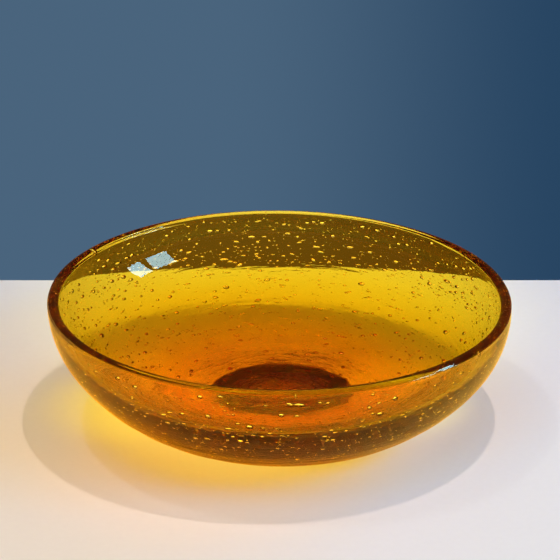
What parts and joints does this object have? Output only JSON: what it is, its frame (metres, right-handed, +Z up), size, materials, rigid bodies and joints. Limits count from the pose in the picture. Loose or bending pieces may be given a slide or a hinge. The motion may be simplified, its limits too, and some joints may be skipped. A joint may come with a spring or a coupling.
{
  "type": "bubble glass bowl",
  "caption": "Shallow round mouth-blown bowl in heavy amber glass with air bubbles, a round fire-polished rim and an applied foot pad.",
  "frame": {"origin": "centre of the ring that the foot rests on, on the table plane", "axes": "+Z up along the bowl's axis of revolution; X and Y lie in the table plane and are interchangeable"},
  "size_m": [0.3, 0.3, 0.09],
  "materials": {
    "bowl_glass": "glossy fire-polished amber glass full of air bubbles",
    "foot_glass": "glossy amber glass, pressed by hand, with fine tool rings",
    "punty_glass": "broken amber glass, softened by grinding"
  },
  "bodies": {
    "root": {"bowl_body": "bowl_glass", "foot_pad": "foot_glass", "punty_mark": "punty_glass"}
  },
  "joints": []
}
